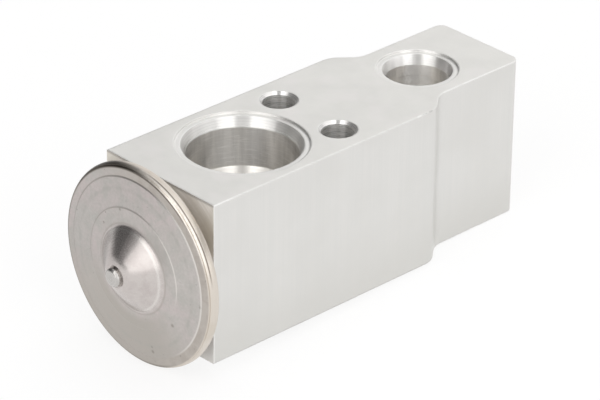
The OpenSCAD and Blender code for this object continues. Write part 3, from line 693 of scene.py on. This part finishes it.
def between(ends, i, steps):
    """The value at step i of an even division between two ends."""
    return ends[0] + (ends[1] - ends[0]) * i / steps


def stage_sheet(name, points, faces, material):
    """A sheet that belongs to the studio."""
    data = bpy.data.meshes.new(name)
    data.from_pydata([tuple(p) for p in points], [], faces)
    data.materials.append(material)
    obj = bpy.data.objects.new(name, data)
    SCENE.collection.objects.link(obj)
    return obj


def glowing_sheet(name, up, place, shade):
    """A glowing sheet, seen only in reflections. `place` gives the point of column i and row j."""
    material = bpy.data.materials.new(name)
    tree = empty_tree(material)
    glow = tree.nodes.new("ShaderNodeEmission")
    glow.inputs["Strength"].default_value = shade
    out = tree.nodes.new("ShaderNodeOutputMaterial")
    tree.links.new(glow.outputs[0], out.inputs[0])
    row = SHEET_COLUMNS + 1
    points = [place(i, j) for j in range(up + 1) for i in range(row)]
    faces = [(j * row + i, j * row + i + 1, (j + 1) * row + i + 1, (j + 1) * row + i)
             for j in range(up) for i in range(SHEET_COLUMNS)]
    obj = stage_sheet(name, points, faces, material)
    obj.visible_camera = False
    obj.visible_diffuse = False
    obj.visible_shadow = False
    obj.visible_volume_scatter = False


def card(name, turns, rises, distance, shade):
    """A studio card on a sphere round the object."""
    def place(i, j):
        return distance * towards(between(turns, i, SHEET_COLUMNS), between(rises, j, CARD_ROWS))

    glowing_sheet(name, CARD_ROWS, place, shade)


def table_shade_sheet(name, turns, reach, shade):
    """A glowing grey sheet on the table beside the object, seen only in reflections: painted shade of the
    table there.
    """
    def place(i, j):
        point = Vector((HEAD_FACE_X * MM, 0.0, 0.0))
        point += reach[j] * towards(between(turns, i, SHEET_COLUMNS), 0)
        point.z = FLOOR_LOW.z + (point.x - FLOOR_LOW.x) * FLOOR_RISE + SHADE_SHEET_LIFT
        return point

    glowing_sheet(name, 1, place, shade)


def lamp(name, turn, rise, distance, size, power):
    """A soft lamp that faces the object and isn't seen in reflections."""
    data = bpy.data.lights.new(name, "AREA")
    data.shape = "RECTANGLE"
    data.size, data.size_y = size
    data.energy = power
    obj = bpy.data.objects.new(name, data)
    SCENE.collection.objects.link(obj)
    direction = towards(turn, rise)
    obj.location = distance * direction
    obj.rotation_mode = "QUATERNION"
    obj.rotation_quaternion = direction.to_track_quat("Z", "Y")
    obj.visible_camera = False
    obj.visible_glossy = False


def shown_or_lighting(tree, lighting, shown, output):
    """What the camera, reflections and glass see is one shader, and what lights the object is another."""
    path = tree.nodes.new("ShaderNodeLightPath")
    seen = path.outputs["Is Camera Ray"]
    for name in ("Is Glossy Ray", "Is Transmission Ray"):
        either = tree.nodes.new("ShaderNodeMath")
        either.operation = "MAXIMUM"
        tree.links.new(seen, either.inputs[0])
        tree.links.new(path.outputs[name], either.inputs[1])
        seen = either.outputs[0]
    mixed = tree.nodes.new("ShaderNodeMixShader")
    for source, socket in zip((seen, lighting, shown), mixed.inputs):
        tree.links.new(source, socket)
    out = tree.nodes.new(output)
    tree.links.new(mixed.outputs[0], out.inputs[0])


def world():
    """Soft light from all round, with a white background."""
    made = bpy.data.worlds.new("studio")
    SCENE.world = made
    tree = empty_tree(made)
    light, white = (tree.nodes.new("ShaderNodeBackground") for _ in range(2))
    light.inputs["Strength"].default_value = WORLD_LIGHT
    light.inputs["Color"].default_value = (1.0, 0.995, 0.99, 1.0)
    white.inputs["Strength"].default_value = 1.0
    white.inputs["Color"].default_value = (1.0, 1.0, 1.0, 1.0)
    shown_or_lighting(tree, light.outputs[0], white.outputs[0], "ShaderNodeOutputWorld")


def floor():
    """White table under the valve, which keeps a soft shadow."""
    material = bpy.data.materials.new("floor_white")
    tree = empty_tree(material)
    plain, pale = (tree.nodes.new("ShaderNodeBsdfDiffuse") for _ in range(2))
    plain.inputs["Color"].default_value = TABLE_TONE
    pale.inputs["Color"].default_value = TABLE_SEEN
    glow = tree.nodes.new("ShaderNodeEmission")
    glow.inputs["Strength"].default_value = TABLE_GLOW
    lit = tree.nodes.new("ShaderNodeAddShader")
    tree.links.new(pale.outputs[0], lit.inputs[0])
    tree.links.new(glow.outputs[0], lit.inputs[1])
    shown_or_lighting(tree, plain.outputs[0], lit.outputs[0], "ShaderNodeOutputMaterial")
    along = Vector((1.0, 0.0, FLOOR_RISE)).normalized() * FLOOR_REACH
    across = Vector((0, FLOOR_REACH, 0))
    corners = [FLOOR_LOW + a * along + b * across - FLOOR_GAP
               for a, b in ((-1, -1), (1, -1), (1, 1), (-1, 1))]
    stage_sheet("floor", corners, [(0, 1, 2, 3)], material)


camera()
dress_nodes()
world()
floor()
for make, table in ((card, CARDS), (table_shade_sheet, TABLE_SHADE_SHEETS), (lamp, LAMPS)):
    for name, settings in table.items():
        make(name, *settings)

SCENE.view_settings.view_transform = "Standard"
